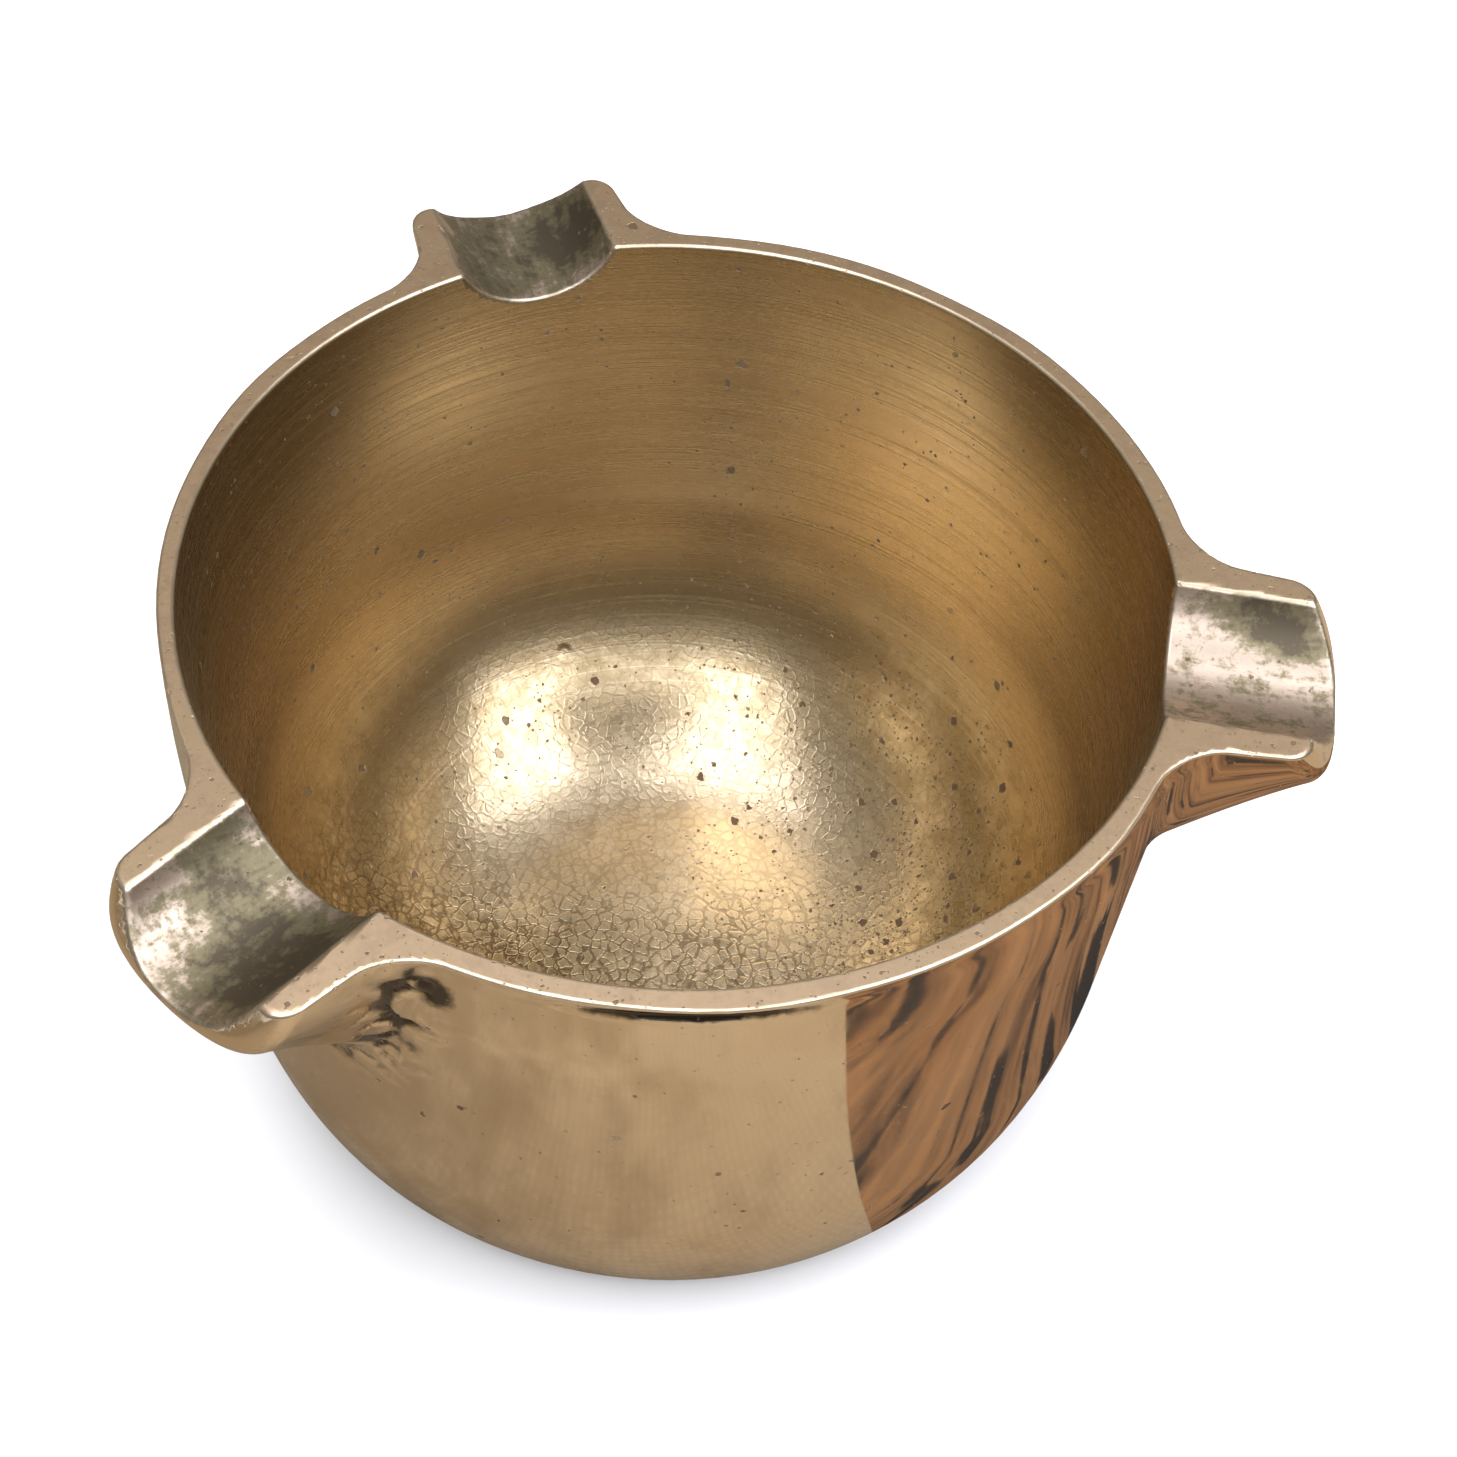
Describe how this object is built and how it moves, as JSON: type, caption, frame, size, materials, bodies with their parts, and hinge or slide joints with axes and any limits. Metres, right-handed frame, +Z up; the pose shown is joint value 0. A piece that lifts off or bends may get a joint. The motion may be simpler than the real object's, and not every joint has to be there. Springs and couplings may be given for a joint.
{
  "type": "brass ashtray bowl",
  "caption": "Deep, heavy, round brass bowl with a flat filed rim and half-round troughs that stand out from the rim as rests.",
  "frame": {"origin": "centre of the flat foot that the bowl stands on", "axes": "+Z up out of the mouth, +X along the right-hand rest"},
  "size_m": [0.1077, 0.1077, 0.062],
  "materials": {
    "bowl_brass": "polished outside, turned satin inside, tarnished floor",
    "rest_brass": "filed satin with dark tarnish in the troughs"
  },
  "bodies": {
    "root": {"bowl": "bowl_brass", "rest_right": "rest_brass", "rest_back": "rest_brass", "rest_left": "rest_brass"}
  },
  "joints": []
}
